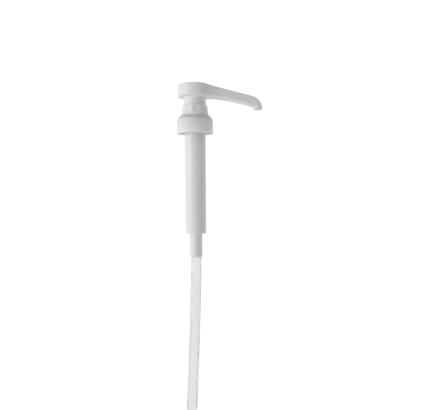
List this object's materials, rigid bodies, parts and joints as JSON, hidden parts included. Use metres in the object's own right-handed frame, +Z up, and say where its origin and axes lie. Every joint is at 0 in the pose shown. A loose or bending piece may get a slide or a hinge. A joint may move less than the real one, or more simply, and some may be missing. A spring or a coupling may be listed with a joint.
{
  "type": "condiment pump dispenser",
  "caption": "Hand pump for a sauce or syrup bottle, with a round thumb pad, a long drooping spout, a screw closure, a barrel and a dip tube.",
  "frame": {"origin": "on the pump's axis, in the plane of the bottle's rim, which is the gasket's underside", "axes": "+Z up along the pump's axis, +X along the spout"},
  "size_m": [0.0987, 0.042, 0.3907],
  "materials": {
    "white_polypropylene": "moulded, satin",
    "milky_polyethylene": "extruded, natural, waxy",
    "polyethylene_foam": "foam, dull",
    "stainless_steel": "bright drawn"
  },
  "bodies": {
    "pump_body": {"barrel": "white_polypropylene", "lock_collar": "white_polypropylene", "gasket": "polyethylene_foam", "ball_cage": "white_polypropylene", "dip_tube": "milky_polyethylene", "spring": "stainless_steel"},
    "piston": {"piston": "milky_polyethylene"},
    "plunger": {"actuator_head": "white_polypropylene", "stem": "white_polypropylene", "piston_retainer": "white_polypropylene"},
    "closure": {"closure": "white_polypropylene"},
    "outlet_ball": {"outlet_ball": "stainless_steel"},
    "inlet_ball": {"inlet_ball": "stainless_steel"}
  },
  "joints": [
    {"name": "plunger_stroke", "type": "slide", "parent": "pump_body", "child": "piston", "axis": [0, 0, 1], "range_m": [0, 0.044], "deforming": ["spring"]},
    {"name": "head_turn", "type": "hinge", "parent": "piston", "child": "plunger", "pos_m": [0, 0, 0], "axis": [0, 0, 1], "continuous": true},
    {"name": "closure_turn", "type": "hinge", "parent": "pump_body", "child": "closure", "pos_m": [0, 0, 0], "axis": [0, 0, 1], "continuous": true},
    {"name": "outlet_ball_lift", "type": "slide", "parent": "plunger", "child": "outlet_ball", "axis": [0, 0, 1], "range_m": [0, 0.002]},
    {"name": "inlet_ball_lift", "type": "slide", "parent": "pump_body", "child": "inlet_ball", "axis": [0, 0, 1], "range_m": [0, 0.002]}
  ]
}
